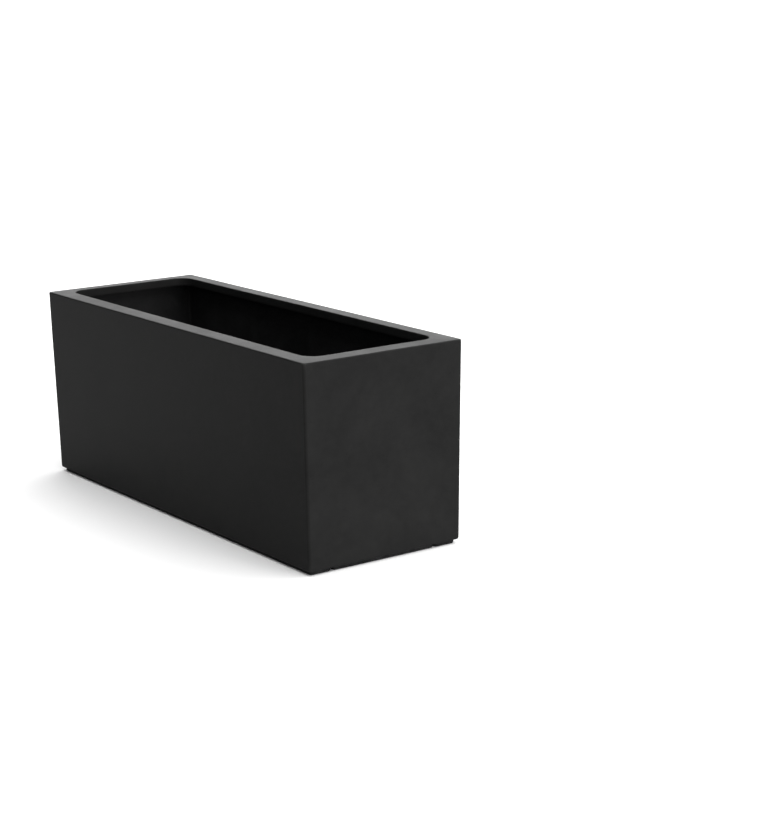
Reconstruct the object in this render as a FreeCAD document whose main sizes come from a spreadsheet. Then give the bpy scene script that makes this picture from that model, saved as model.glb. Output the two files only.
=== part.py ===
"""Rectangular street planter: a drafted fibre-composite shell with a turned-in rim, stiffening bars
in the rim, three drain bushes with pull-out plugs, and rubber rails screwed into moulded-in inserts.

Frame: +Z up, origin on the ground under the middle of the box, +X along the length, -Y the front.
Millimetres throughout. The driving dimensions are in the spreadsheet "dims".
"""

import FreeCAD, Part
import math
import os
import re

import Sketcher
from FreeCAD import Vector

# ---------------------------------------------------------------- driving dimensions

DIMENSIONS = {
    # outside of the box: at the rim, and over the rails
    "box_length": 700,
    "box_width": 250,
    "box_height": 280,
    "draft_run": 4,  # how far each wall leans in from the rim to the underside
    "edge_round": 4,  # vertical outside corners
    "arris_round": 2,  # outside edge of the rim
    "base_round": 3.5,  # edge between the walls and the underside
    # laminate
    "wall_thick": 6,
    "floor_thick": 8,
    "inside_round": 4,
    "cove_round": 3,  # inside edge between the walls and the floor
    # turned-in rim with a lip that hangs from its inner edge
    "rim_width": 25,
    "rim_fall": 1,  # the rim's outer edge is this much lower than its inner edge
    "rim_thick": 5,
    "lip_depth": 12,  # from the top of the rim
    "lip_thick": 5,
    "mouth_round": 22,  # plan radius of the mouth's corners
    "mouth_edge": 1.5,
    # flat bars bonded under the rim, between the wall and the lip
    "bar_width": 12,
    "bar_thick": 6,
    "bar_gap": 3,  # between the ends of neighbouring bars
    # drains, in a row along the middle of the floor
    "drain_pitch": 220,
    "sleeve_radius": 12,
    "sleeve_bore": 9,
    "flange_radius": 17,
    "flange_thick": 2,
    # rubber plugs
    "plug_gap": 0.08,  # radial running clearance in the sleeve
    "seat_gap": 0.3,  # under the plug's head
    "plug_depth": 9,
    "plug_chamfer": 1.5,
    "head_radius": 13,
    "head_thick": 3,
    "stem_radius": 4,
    "stem_length": 6,
    "knob_radius": 8,
    "knob_thick": 5,
    "knob_chamfer": 1.5,
    # rubber rails under the floor, in a ring just behind the faces of the walls
    "rail_height": 5,
    "rail_width": 32,
    "rail_setback": 5,
    "rail_gap": 4,  # between the ends of the short rails and the long ones, for water
    "rail_round": 4,
    "rail_edge": 0.8,
    "rail_bore": 2.8,
    "recess_radius": 6,
    "recess_depth": 3,
    "long_screw_reach": 285,
    "short_screw_spread": 45,
    # M5 screws and their moulded-in inserts
    "boss_radius": 9,
    "boss_height": 5,
    "insert_radius": 4,
    "insert_length": 10.5,
    "screw_radius": 2.5,
    "screw_length": 12,
    "screw_gap": 0.05,
    "cap_radius": 4.75,
    "cap_thick": 2.75,
    "socket_flats": 3,
    "socket_depth": 1.8,
}

doc = FreeCAD.newDocument("planter_box")
sheet = doc.addObject("Spreadsheet::Sheet", "dims")
for row, (alias, value) in enumerate(DIMENSIONS.items(), start=1):
    sheet.set(f"A{row}", alias)
    sheet.set(f"B{row}", str(value))
    sheet.setAlias(f"B{row}", alias)
doc.recompute()

SAME_HEIGHT = 1e-3  # edges this close to a height count as lying at it

# Sizes that follow from the driving ones, as expressions of the sheet's cells.
SHELL_HEIGHT = "(box_height - rail_height)"
FLOOR_TOP = "(rail_height + floor_thick)"
RIM_UNDER = "(box_height - rim_thick)"
FLANGE_TOP = f"({FLOOR_TOP} + flange_thick)"
HEAD_UNDER = f"({FLANGE_TOP} + seat_gap)"
HEAD_TOP = f"({HEAD_UNDER} + head_thick)"
KNOB_UNDER = f"({HEAD_TOP} + stem_length)"
KNOB_TOP = f"({KNOB_UNDER} + knob_thick)"
PLUG_END = f"({HEAD_UNDER} - plug_depth)"
PLUG_RADIUS = "(sleeve_bore - plug_gap)"
CAP_UNDER = "(recess_depth - cap_thick)"
LONG_RAIL_SPREAD = "(box_width / 2 - draft_run - rail_setback - rail_width / 2)"
SHORT_RAIL_REACH = "(box_length / 2 - draft_run - rail_setback - rail_width / 2)"
RIM_EDGE = "(box_height - rim_fall)"
BAR_REACH = "(box_length / 2 - rim_width + lip_thick + bar_width / 2)"
BAR_SPREAD = "(box_width / 2 - rim_width + lip_thick + bar_width / 2)"


def cells(expression):
    """Puts the sheet's name before every alias in an expression."""
    return re.sub(r"[a-z]+(?:_[a-z]+)*", lambda word: f"dims.{word.group(0)}", expression)


def value_of(expression):
    return float(sheet.evalExpression(cells(expression)))


# ---------------------------------------------------------------- sketches and features


def new_body(name):
    body = doc.addObject("PartDesign::Body", name)
    body.Label = name
    return body


def origin_part(body, role):
    """A plane or an axis of the body's own origin."""
    return next(part for part in body.Origin.OriginFeatures if part.Role == role)


def new_sketch(body, name, role="XY_Plane", height=None):
    """A sketch on one of the body's own planes, lifted where a height is given."""
    sketch = body.newObject("Sketcher::SketchObject", name)
    sketch.AttachmentSupport = [(origin_part(body, role), "")]
    sketch.MapMode = "FlatFace"
    if height is not None:
        sketch.setExpression("AttachmentOffset.Base.z", cells(height))
    return sketch


def constrain(sketch, *terms):
    return sketch.addConstraint(Sketcher.Constraint(*terms))


def drive(sketch, expression, *terms):
    """A constraint whose value the sheet drives."""
    index = constrain(sketch, *terms, value_of(expression))
    sketch.setExpression(f"Constraints[{index}]", cells(expression))


def locate(sketch, geometry, point, across, up):
    """Holds a point at (side, expression) from each axis; side is -1, 0 or 1."""
    for kind, axis, (side, expression) in (("DistanceX", -2, across), ("DistanceY", -1, up)):
        if side == 0:
            constrain(sketch, "PointOnObject", geometry, point, axis)
        elif side > 0:
            drive(sketch, expression, kind, -1, 1, geometry, point)
        else:
            drive(sketch, expression, kind, geometry, point, -1, 1)


def rounded_rectangle(sketch, length, width, radius):
    """A rectangle with round corners about the sketch's origin."""
    first = sketch.GeometryCount
    r = value_of(radius)
    far_x = value_of(length) / 2 - r
    far_y = value_of(width) / 2 - r
    quarters = ((1, 1), (-1, 1), (-1, -1), (1, -1))
    centres = [Vector(sign_x * far_x, sign_y * far_y, 0) for sign_x, sign_y in quarters]
    for k in range(4):
        here, there = centres[k], centres[(k + 1) % 4]
        turn = math.pi / 2 * (k + 1)
        out = Vector(math.cos(turn), math.sin(turn), 0) * r
        sketch.addGeometry(Part.LineSegment(here + out, there + out), False)
        corner = Part.Circle(there, Vector(0, 0, 1), r)
        sketch.addGeometry(Part.ArcOfCircle(corner, turn, turn + math.pi / 2), False)
    for k in range(4):
        line = first + 2 * k
        constrain(sketch, "Tangent", line, 2, line + 1, 1)
        constrain(sketch, "Tangent", line + 1, 2, first + (2 * k + 2) % 8, 1)
        constrain(sketch, "Vertical" if k % 2 else "Horizontal", line)
        if k:
            constrain(sketch, "Equal", first + 1, line + 1)
    constrain(sketch, "Symmetric", first + 1, 3, first + 5, 3, -1, 1)
    drive(sketch, f"{length} - 2 * {radius}", "DistanceX", first + 1, 3, first + 7, 3)
    drive(sketch, f"{width} - 2 * {radius}", "DistanceY", first + 3, 3, first + 1, 3)
    drive(sketch, radius, "Radius", first + 1)


def circle(sketch, radius, across=(0, "0"), up=(0, "0")):
    centre = Vector(across[0] * value_of(across[1]), up[0] * value_of(up[1]), 0)
    index = sketch.addGeometry(Part.Circle(centre, Vector(0, 0, 1), value_of(radius)), False)
    drive(sketch, radius, "Radius", index)
    locate(sketch, index, 3, across, up)


def polygon(sketch, corners):
    """A closed outline through corners given as expressions (across, up), none of them negative."""
    points = [Vector(value_of(across), value_of(up), 0) for across, up in corners]
    for k, point in enumerate(points):
        sketch.addGeometry(Part.LineSegment(point, points[(k + 1) % len(points)]), False)
    for k, (across, up) in enumerate(corners):
        constrain(sketch, "Coincident", k, 2, (k + 1) % len(points), 1)
        locate(sketch, k, 1, (int(across != "0"), across), (int(up != "0"), up))


def extrude(body, kind, sketch, length, name, reverse=False):
    """A Pad, which rises from its sketch, or a Pocket, which cuts down; reverse turns either over."""
    feature = body.newObject("PartDesign::" + kind, name)
    feature.Profile = sketch
    feature.Reversed = reverse
    feature.setExpression("Length", cells(length))
    return feature


def loft(body, kind, lower, upper, name):
    feature = body.newObject("PartDesign::" + kind, name)
    feature.Profile = lower
    feature.Sections = [upper]
    feature.Ruled = True
    return feature


def round_edges(body, base, height, radius, name):
    """Fillets the edges that lie at one height."""
    doc.recompute()
    level = value_of(height)
    picked = []
    for number, edge in enumerate(base.Shape.Edges, start=1):
        box = edge.BoundBox
        if max(abs(box.ZMin - level), abs(box.ZMax - level)) < SAME_HEIGHT:
            picked.append(f"Edge{number}")
    fillet = body.newObject("PartDesign::Fillet", name)
    fillet.Base = (base, picked)
    fillet.setExpression("Radius", cells(radius))
    return fillet


def turned(name, corners):
    """A body turned about its Z axis from an outline of (radius, height)."""
    body = new_body(name)
    sketch = new_sketch(body, name + "_outline", "XZ_Plane")
    polygon(sketch, corners)
    turn = body.newObject("PartDesign::Revolution", name + "_turn")
    turn.Profile = sketch
    turn.ReferenceAxis = (origin_part(body, "Z_Axis"), [""])
    turn.Angle = 360
    return body


def place(body, across, up=(0, "0")):
    """Stands a body at (side, expression) from the middle of the box along X and along Y."""
    body.setExpression("Placement.Base.x", cells(f"{across[0]} * {across[1]}"))
    body.setExpression("Placement.Base.y", cells(f"{up[0]} * {up[1]}"))


# ---------------------------------------------------------------- where the repeated pieces stand

DRAINS = {"left": -1, "middle": 0, "right": 1}
RAILS = {"front": (0, -1), "back": (0, 1), "left": (-1, 0), "right": (1, 0)}
SCREWS = {}
for row_name, row_side in (("front", -1), ("back", 1)):
    for name, side in DRAINS.items():
        SCREWS[f"{row_name}_{name}"] = (side, "long_screw_reach"), (row_side, LONG_RAIL_SPREAD)
    for name, side in (("left", -1), ("right", 1)):
        SCREWS[f"{name}_{row_name}"] = (side, SHORT_RAIL_REACH), (row_side, "short_screw_spread")

# ---------------------------------------------------------------- sub-parts


def make_shell():
    """The moulding: drafted walls, floor, turned-in rim with its lip, bosses and holes."""
    body = new_body("shell")
    lean_at_floor = f"draft_run * ({SHELL_HEIGHT} - floor_thick) / {SHELL_HEIGHT}"
    lean_at_rim = f"draft_run * rim_thick / {SHELL_HEIGHT}"

    base = new_sketch(body, "underside", height="rail_height")
    rounded_rectangle(base, "(box_length - 2 * draft_run)", "(box_width - 2 * draft_run)", "edge_round")
    top = new_sketch(body, "rim_outline", height=RIM_EDGE)
    rounded_rectangle(top, "box_length", "box_width", "edge_round")
    loft(body, "AdditiveLoft", base, top, "block")

    mouth_size = ["(box_length - 2 * rim_width)", "(box_width - 2 * rim_width)", "mouth_round"]
    edge = new_sketch(body, "rim_edge_outline", height=RIM_EDGE)
    rounded_rectangle(edge, "box_length", "box_width", "edge_round")
    mouth = new_sketch(body, "mouth_outline", height="box_height")
    rounded_rectangle(mouth, *mouth_size)
    loft(body, "AdditiveLoft", edge, mouth, "rim_slope")

    inside = [f"(box_{side} - 2 * wall_thick" for side in ("length", "width")]
    low = new_sketch(body, "floor_outline", height=FLOOR_TOP)
    rounded_rectangle(low, *[f"{size} - 2 * {lean_at_floor})" for size in inside], "inside_round")
    high = new_sketch(body, "under_rim_outline", height=RIM_UNDER)
    rounded_rectangle(high, *[f"{size} - 2 * {lean_at_rim})" for size in inside], "inside_round")
    loft(body, "SubtractiveLoft", low, high, "cavity")

    opening = new_sketch(body, "opening_outline", height="box_height")
    rounded_rectangle(opening, *mouth_size)
    extrude(body, "Pocket", opening, "rim_thick", "opening")

    lip_ring = new_sketch(body, "lip_outline", height=RIM_UNDER)
    rounded_rectangle(lip_ring, *mouth_size)
    rounded_rectangle(
        lip_ring,
        "(box_length - 2 * rim_width + 2 * lip_thick)",
        "(box_width - 2 * rim_width + 2 * lip_thick)",
        "(mouth_round + lip_thick)",
    )
    lip = extrude(body, "Pad", lip_ring, "lip_depth - rim_thick", "lip", reverse=True)

    cove = round_edges(body, lip, FLOOR_TOP, "cove_round", "cove")
    base_edge = round_edges(body, cove, "rail_height", "base_round", "base_edge")
    arris = round_edges(body, base_edge, RIM_EDGE, "arris_round", "arris")
    round_edges(body, arris, "box_height", "mouth_edge", "mouth_edge")

    bosses = new_sketch(body, "boss_outlines", height=FLOOR_TOP)
    inserts = new_sketch(body, "insert_holes", height="rail_height")
    for spot in SCREWS.values():
        circle(bosses, "boss_radius", *spot)
        circle(inserts, "insert_radius", *spot)
    extrude(body, "Pad", bosses, "boss_height", "bosses")
    extrude(body, "Pocket", inserts, "insert_length", "insert_holes_cut", reverse=True)

    drains = new_sketch(body, "drain_holes", height=FLOOR_TOP)
    for side in DRAINS.values():
        circle(drains, "sleeve_radius", (side, "drain_pitch"))
    extrude(body, "Pocket", drains, "floor_thick", "drain_holes_cut")
    return body


def make_rim_bars():
    """Flat bars bonded up into the channel between the wall and the lip, one along each side."""
    along_x = "(box_length - 2 * rim_width + 2 * lip_thick - 2 * bar_gap)"
    along_y = "(box_width - 2 * wall_thick - 2 * inside_round - 2 * bar_gap)"
    bars = {
        "front": (along_x, "bar_width", (0, BAR_REACH), (-1, BAR_SPREAD)),
        "back": (along_x, "bar_width", (0, BAR_REACH), (1, BAR_SPREAD)),
        "left": ("bar_width", along_y, (-1, BAR_REACH), (0, BAR_SPREAD)),
        "right": ("bar_width", along_y, (1, BAR_REACH), (0, BAR_SPREAD)),
    }
    for name, (length, width, across, up) in bars.items():
        bar = doc.addObject("Part::Box", "rim_bar_" + name)
        bar.Label = "rim_bar_" + name
        bar.setExpression("Length", cells(length))
        bar.setExpression("Width", cells(width))
        bar.setExpression("Height", cells("bar_thick"))
        bar.setExpression("Placement.Base.x", cells(f"{across[0]} * {across[1]} - {length} / 2"))
        bar.setExpression("Placement.Base.y", cells(f"{up[0]} * {up[1]} - {width} / 2"))
        bar.setExpression("Placement.Base.z", cells(f"{RIM_UNDER} - bar_thick"))
        yield bar


def make_bush(name):
    """A flanged sleeve that lines a drain hole."""
    return turned(
        name,
        [
            ("sleeve_bore", "rail_height"),
            ("sleeve_radius", "rail_height"),
            ("sleeve_radius", FLOOR_TOP),
            ("flange_radius", FLOOR_TOP),
            ("flange_radius", FLANGE_TOP),
            ("sleeve_bore", FLANGE_TOP),
        ],
    )


def make_plug(name):
    """A rubber plug with a head that covers the flange and a knob to pull it by."""
    return turned(
        name,
        [
            ("0", PLUG_END),
            (f"({PLUG_RADIUS} - plug_chamfer)", PLUG_END),
            (PLUG_RADIUS, f"({PLUG_END} + plug_chamfer)"),
            (PLUG_RADIUS, HEAD_UNDER),
            ("head_radius", HEAD_UNDER),
            ("head_radius", HEAD_TOP),
            ("stem_radius", HEAD_TOP),
            ("stem_radius", KNOB_UNDER),
            ("knob_radius", KNOB_UNDER),
            ("knob_radius", f"({KNOB_TOP} - knob_chamfer)"),
            ("(knob_radius - knob_chamfer)", KNOB_TOP),
            ("0", KNOB_TOP),
        ],
    )


def make_rail(name, length, width, spots):
    """A rubber rail along one side; spots are its screws' places, measured from its own middle."""
    body = new_body(name)
    outline = new_sketch(body, name + "_outline", height="0")
    rounded_rectangle(outline, length, width, "rail_round")
    strip = extrude(body, "Pad", outline, "rail_height", name + "_strip")
    round_edges(body, strip, "0", "rail_edge", name + "_edge")
    steps = (("recess", "recess_radius", "recess_depth"), ("bore", "rail_bore", "rail_height"))
    for kind, radius, depth in steps:
        holes = new_sketch(body, f"{name}_{kind}", height="0")
        for spot in spots:
            circle(holes, radius, *spot)
        extrude(body, "Pocket", holes, depth, f"{name}_{kind}_cut", reverse=True)
    return body


def make_long_rail(name):
    spots = [((side, "long_screw_reach"), (0, "0")) for side in DRAINS.values()]
    return make_rail(name, "(box_length - 2 * draft_run - 2 * rail_setback)", "rail_width", spots)


def make_short_rail(name):
    spots = [((0, "0"), (side, "short_screw_spread")) for side in (-1, 1)]
    return make_rail(name, "rail_width", f"(2 * {LONG_RAIL_SPREAD} - rail_width - 2 * rail_gap)", spots)


def make_insert(name):
    return turned(
        name,
        [
            ("(screw_radius + screw_gap)", "rail_height"),
            ("insert_radius", "rail_height"),
            ("insert_radius", "(rail_height + insert_length)"),
            ("(screw_radius + screw_gap)", "(rail_height + insert_length)"),
        ],
    )


def make_screw(name):
    """A button-head screw, head down, with a hexagon socket."""
    body = turned(
        name,
        [
            ("0", CAP_UNDER),
            ("cap_radius", CAP_UNDER),
            ("cap_radius", "recess_depth"),
            ("screw_radius", "recess_depth"),
            ("screw_radius", "(recess_depth + screw_length)"),
            ("0", "(recess_depth + screw_length)"),
        ],
    )
    socket = new_sketch(body, name + "_socket", height=CAP_UNDER)
    reach = value_of("socket_flats") / math.sqrt(3)
    turns = [k * math.pi / 3 for k in range(6)]
    corners = [Vector(reach * math.cos(turn), reach * math.sin(turn), 0) for turn in turns]
    for k, corner in enumerate(corners):
        socket.addGeometry(Part.LineSegment(corner, corners[(k + 1) % 6]), False)
    ring = socket.addGeometry(Part.Circle(Vector(0, 0, 0), Vector(0, 0, 1), reach), True)
    for k in range(6):
        constrain(socket, "Coincident", k, 2, (k + 1) % 6, 1)
        constrain(socket, "PointOnObject", k, 1, ring)
        if k:
            constrain(socket, "Equal", 0, k)
    constrain(socket, "Coincident", ring, 3, -1, 1)
    constrain(socket, "PointOnObject", 0, 1, -1)
    drive(socket, "socket_flats", "DistanceY", 5, 1, 1, 1)
    extrude(body, "Pocket", socket, "socket_depth", name + "_socket_cut", reverse=True)
    return body


# ---------------------------------------------------------------- the assembly

nodes = [make_shell(), *make_rim_bars()]
for side, sign in DRAINS.items():
    for make, kind in ((make_bush, "drain_bush_"), (make_plug, "drain_plug_")):
        piece = make(kind + side)
        place(piece, (sign, "drain_pitch"))
        nodes.append(piece)
for side, (sign_x, sign_y) in RAILS.items():
    make = make_short_rail if sign_x else make_long_rail
    piece = make("base_rail_" + side)
    place(piece, (sign_x, SHORT_RAIL_REACH), (sign_y, LONG_RAIL_SPREAD))
    nodes.append(piece)
for spot_name, spot in SCREWS.items():
    for make, kind in ((make_insert, "rail_insert_"), (make_screw, "rail_screw_")):
        piece = make(kind + spot_name)
        place(piece, *spot)
        nodes.append(piece)
doc.recompute()

# ---------------------------------------------------------------- checks and export


def check(document, pieces):
    """Stops on any failed object, loose sketch or bad shape."""
    for item in document.Objects:
        if "Invalid" in item.State or "Error" in item.State:
            raise RuntimeError(f"{item.Label}: {item.State}")
        if item.isDerivedFrom("Sketcher::SketchObject") and not item.FullyConstrained:
            raise RuntimeError(f"{item.Label} isn't fully constrained")
    for piece in pieces:
        shape = piece.Shape
        if shape.isNull() or not shape.isValid() or len(shape.Solids) != 1:
            raise RuntimeError(f"{piece.Label} is not one valid solid")


check(doc, nodes)
os.makedirs("parts", exist_ok=True)
for piece in nodes:
    piece.Shape.exportStep(f"parts/{piece.Label}.step")
    box = piece.Shape.BoundBox
    print(
        f"{piece.Label:26s} {piece.Shape.Volume:12.1f} mm3"
        f"  x {box.XMin:7.1f} {box.XMax:7.1f}"
        f"  y {box.YMin:7.1f} {box.YMax:7.1f}"
        f"  z {box.ZMin:6.1f} {box.ZMax:6.1f}"
    )
print(len(nodes), "sub-parts")
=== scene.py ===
# %% [markdown]
# # A rectangular street planter
# The planter is a long box moulded in clay and glass fibre. The CAD frame says how large every piece
# is and where it sits. This lesson builds each piece again as a finer mesh in the same place, gives
# each finish its own nodes, and lights the box like a product on a white studio floor.

# %% Load the frame
import math

import bmesh
import bpy
from mathutils import Matrix, Vector, noise


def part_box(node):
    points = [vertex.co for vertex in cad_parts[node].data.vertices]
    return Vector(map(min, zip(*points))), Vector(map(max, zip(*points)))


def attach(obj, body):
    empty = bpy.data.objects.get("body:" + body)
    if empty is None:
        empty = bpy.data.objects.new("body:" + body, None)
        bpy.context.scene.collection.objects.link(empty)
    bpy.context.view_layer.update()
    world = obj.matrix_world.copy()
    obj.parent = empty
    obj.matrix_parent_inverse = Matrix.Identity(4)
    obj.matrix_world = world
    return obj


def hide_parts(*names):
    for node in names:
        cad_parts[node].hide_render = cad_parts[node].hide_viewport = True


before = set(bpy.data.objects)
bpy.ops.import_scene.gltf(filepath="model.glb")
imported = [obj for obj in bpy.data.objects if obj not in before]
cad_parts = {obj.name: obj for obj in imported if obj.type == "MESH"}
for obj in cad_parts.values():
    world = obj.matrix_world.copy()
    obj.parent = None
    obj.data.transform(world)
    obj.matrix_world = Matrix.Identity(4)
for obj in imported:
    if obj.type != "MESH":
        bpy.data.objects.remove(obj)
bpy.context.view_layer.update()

# %% [markdown]
# ## The camera first
# The view is set before anything is modelled, so that every test picture can be judged. A camera is
# easiest to read as a heading, a tilt and a roll. Heading 0 looks along +Y, and 90 along -X. A long
# lens from a few metres away keeps the box's upright edges nearly parallel.

# %% Camera
CAMERA_PLACE = Vector((2.399, -1.468, 0.787))
CAMERA_HEADING = 54.44
CAMERA_TILT = 13.0
CAMERA_ROLL = 0.94
CAMERA_LENS = 89.0


def camera_axes(heading, tilt, roll):
    """The camera's right, up and backward axes, as the columns of a turn."""
    heading, tilt, roll = (math.radians(angle) for angle in (heading, tilt, roll))
    ahead = Vector((-math.sin(heading) * math.cos(tilt), math.cos(heading) * math.cos(tilt), -math.sin(tilt)))
    level = Vector((math.cos(heading), math.sin(heading), 0))
    above = level.cross(ahead)
    right = level * math.cos(roll) - above * math.sin(roll)
    up = level * math.sin(roll) + above * math.cos(roll)
    return Matrix((right, up, -ahead)).transposed()


camera_data = bpy.data.cameras.new("studio_camera")
camera_data.lens = CAMERA_LENS
camera = bpy.data.objects.new("studio_camera", camera_data)
bpy.context.collection.objects.link(camera)
turn = camera_axes(CAMERA_HEADING, CAMERA_TILT, CAMERA_ROLL)
camera.matrix_world = Matrix.Translation(CAMERA_PLACE) @ turn.to_4x4()
bpy.context.scene.camera = camera
print("camera at", tuple(CAMERA_PLACE), "lens", CAMERA_LENS, "mm")

# %% [markdown]
# ## Sizes that the pieces share
# The overall box comes from the frame. The laminate's thickness and the small radii are the same as
# in the CAD, in metres. Naming them once keeps the mesh and the solids in step.

# %% Sizes
MM = 0.001
shell_low, shell_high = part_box("shell")
RIM_TOP = shell_high[2]
UNDERSIDE = shell_low[2]
HALF_LENGTH = 350 * MM
HALF_WIDTH = 125 * MM
DRAFT = 4 * MM
EDGE_ROUND = 4 * MM
ARRIS_ROUND = 2 * MM
BASE_ROUND = 3.5 * MM
WALL = 6 * MM
FLOOR = 8 * MM
INSIDE_ROUND = 4 * MM
COVE_ROUND = 3 * MM
RIM_WIDTH = 25 * MM
RIM_FALL = 1 * MM
RIM_THICK = 5 * MM
LIP_DEPTH = 12 * MM
LIP_THICK = 5 * MM
MOUTH_ROUND = 22 * MM
MOUTH_EDGE = 1.5 * MM
FLOOR_TOP = UNDERSIDE + FLOOR
SIDES = ("left", "middle", "right")
EDGES = ("front", "back", "left", "right")
SCREWS = [f"{row}_{side}" for row in ("front", "back") for side in SIDES]
SCREWS += [f"{side}_{row}" for side in ("left", "right") for row in ("front", "back")]
print("shell from", round(UNDERSIDE, 4), "to", round(RIM_TOP, 4))


def centre_of(node):
    """The point on the floor plane under the middle of a CAD node."""
    low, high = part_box(node)
    return Vector(((low[0] + high[0]) / 2, (low[1] + high[1]) / 2, 0))


# %% [markdown]
# ## Rings and skins
# Every moulded or turned piece here is a stack of rings. A ring is a closed loop of points, and a
# skin joins one ring to the next with quads. For the shell the ring is a rectangle with round
# corners, and for turned pieces it is a circle. All rings of a piece have the same number of points,
# so the quads stay clean, and bevels are simply rings set close together round an arc.

# %% Ring helpers
def rectangle_ring(half_x, half_y, radius, z, steps_x=64, steps_y=22, corner_steps=8):
    """Points round a rectangle with round corners, anticlockwise seen from above."""
    points = []
    signs = ((1, -1), (1, 1), (-1, 1), (-1, -1))
    for k, (sx, sy) in enumerate(signs):
        centre = Vector((sx * (half_x - radius), sy * (half_y - radius), z))
        start = math.pi / 2 * (k - 1)
        for step in range(corner_steps + 1):
            angle = start + math.pi / 2 * step / corner_steps
            points.append(centre + Vector((math.cos(angle), math.sin(angle), 0)) * radius)
        nx, ny = signs[(k + 1) % 4]
        following = Vector((nx * (half_x - radius), ny * (half_y - radius), z))
        out = Vector((math.cos(start + math.pi / 2), math.sin(start + math.pi / 2), 0)) * radius
        steps = steps_x if k % 2 else steps_y
        points += [(centre + out).lerp(following + out, step / steps) for step in range(1, steps)]
    return points


def circle_ring(centre, radius, z, count=48):
    """Points round a circle; the radius may be a function of the angle."""
    points = []
    for k in range(count):
        angle = 2 * math.pi * k / count
        reach = radius(angle) if callable(radius) else radius
        points.append(Vector((centre.x + math.cos(angle) * reach, centre.y + math.sin(angle) * reach, z)))
    return points


def new_ring(mesh, points):
    """Adds a ring's points to a mesh as vertices."""
    return [mesh.verts.new(point) for point in points]


def skin(mesh, rings, material=0, first=None):
    """Joins rings of points with quads; first is a ring of vertices that is already in the mesh."""
    below = first or new_ring(mesh, rings[0])
    for ring in rings if first else rings[1:]:
        above = new_ring(mesh, ring)
        for k in range(len(above)):
            n = (k + 1) % len(above)
            mesh.faces.new((below[k], below[n], above[n], above[k])).material_index = material
        below = above
    return below


def arc(start, end, turns_out, steps=5):
    """A quarter round from one (across, z) point to another, bulging away from the solid's inside."""
    corner = (end[0], start[1]) if turns_out else (start[0], end[1])
    points = []
    for step in range(steps + 1):
        angle = math.pi / 2 * step / steps
        points.append(
            (
                corner[0] + (start[0] - corner[0]) * math.cos(angle) + (end[0] - corner[0]) * math.sin(angle),
                corner[1] + (start[1] - corner[1]) * math.cos(angle) + (end[1] - corner[1]) * math.sin(angle),
            )
        )
    return points


def finish_piece(mesh, name, node, body, materials, sharp=38):
    """Turns a bmesh into an object that stands for a CAD node and rides on its body."""
    bmesh.ops.recalc_face_normals(mesh, faces=mesh.faces)
    data = bpy.data.meshes.new(name)
    mesh.to_mesh(data)
    mesh.free()
    data.shade_smooth()
    data.set_sharp_from_angle(angle=math.radians(sharp))
    for material in materials:
        data.materials.append(material)
    piece = bpy.data.objects.new(name, data)
    bpy.context.collection.objects.link(piece)
    weighted = piece.modifiers.new("even_normals", "WEIGHTED_NORMAL")
    weighted.keep_sharp = True
    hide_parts(node)
    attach(piece, body)
    return piece


# %% [markdown]
# ## Node helpers
# Finishes are built from nodes, so a few small helpers save a lot of typing: one makes a node and
# sets its inputs, one links sockets, one starts a node group with named sockets, and two do sums on
# numbers. Effects that several finishes share live in groups, and the shader itself stays in the material.

# %% Node helpers
def add(tree, kind, **values):
    """A node whose keyword values set its inputs, or its own properties where no input has the name."""
    made = tree.nodes.new(kind)
    for key, value in values.items():
        socket = made.inputs.get(key.replace("_", " ").title())
        if socket is not None:
            socket.default_value = value
        else:
            setattr(made, key, value)
    return made


def wire(tree, *pairs):
    """Links each (output, input) pair."""
    for source, target in pairs:
        tree.links.new(source, target)


def new_group(name, inputs, outputs):
    """A shader group with float inputs {name: default} and float outputs."""
    group = bpy.data.node_groups.new(name, "ShaderNodeTree")
    for label, default in inputs.items():
        socket = group.interface.new_socket(label, in_out="INPUT", socket_type="NodeSocketFloat")
        socket.default_value = default
    for label in outputs:
        group.interface.new_socket(label, in_out="OUTPUT", socket_type="NodeSocketFloat")
    return group, group.nodes.new("NodeGroupInput"), group.nodes.new("NodeGroupOutput")


def math_node(tree, operation, first, second, clamp=False):
    """The result of a sum on two numbers or sockets."""
    made = tree.nodes.new("ShaderNodeMath")
    made.operation = operation
    made.use_clamp = clamp
    for slot, value in enumerate((first, second)):
        if isinstance(value, (int, float)):
            made.inputs[slot].default_value = value
        else:
            tree.links.new(value, made.inputs[slot])
    return made.outputs[0]


def remap(tree, value, low, high, out_low=0.0, out_high=1.0):
    """Stretches low..high to out_low..out_high and clamps."""
    made = tree.nodes.new("ShaderNodeMapRange")
    for slot, number in enumerate((low, high, out_low, out_high), start=1):
        made.inputs[slot].default_value = number
    tree.links.new(value, made.inputs[0])
    return made.outputs[0]


# %% [markdown]
# ## Shared effects: mottle, grain, worn edges, dust, and painted shade, highlights and sheen
# A moulded, hand-coloured surface is never one flat tone. Four effects make up most of what the eye
# reads as material: soft clouds where the colour wash is thicker, a fine grain with pinholes painted
# darker as painted shade, edges painted paler for rubbed wear and a painted highlight, with hollows
# where dust gathers, and dust where a surface faces up, which also paints a pale sheen on the rim's
# top. They read object coordinates, so the pattern keeps its size and moves with the piece. The edges
# and hollows come from Pointiness, which is above 0.5 on an outside corner and below it on an inside
# one.

# %% Mottle group
WIDE_SHARE = 0.7
CLOSE_SHARE = 0.3

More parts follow.
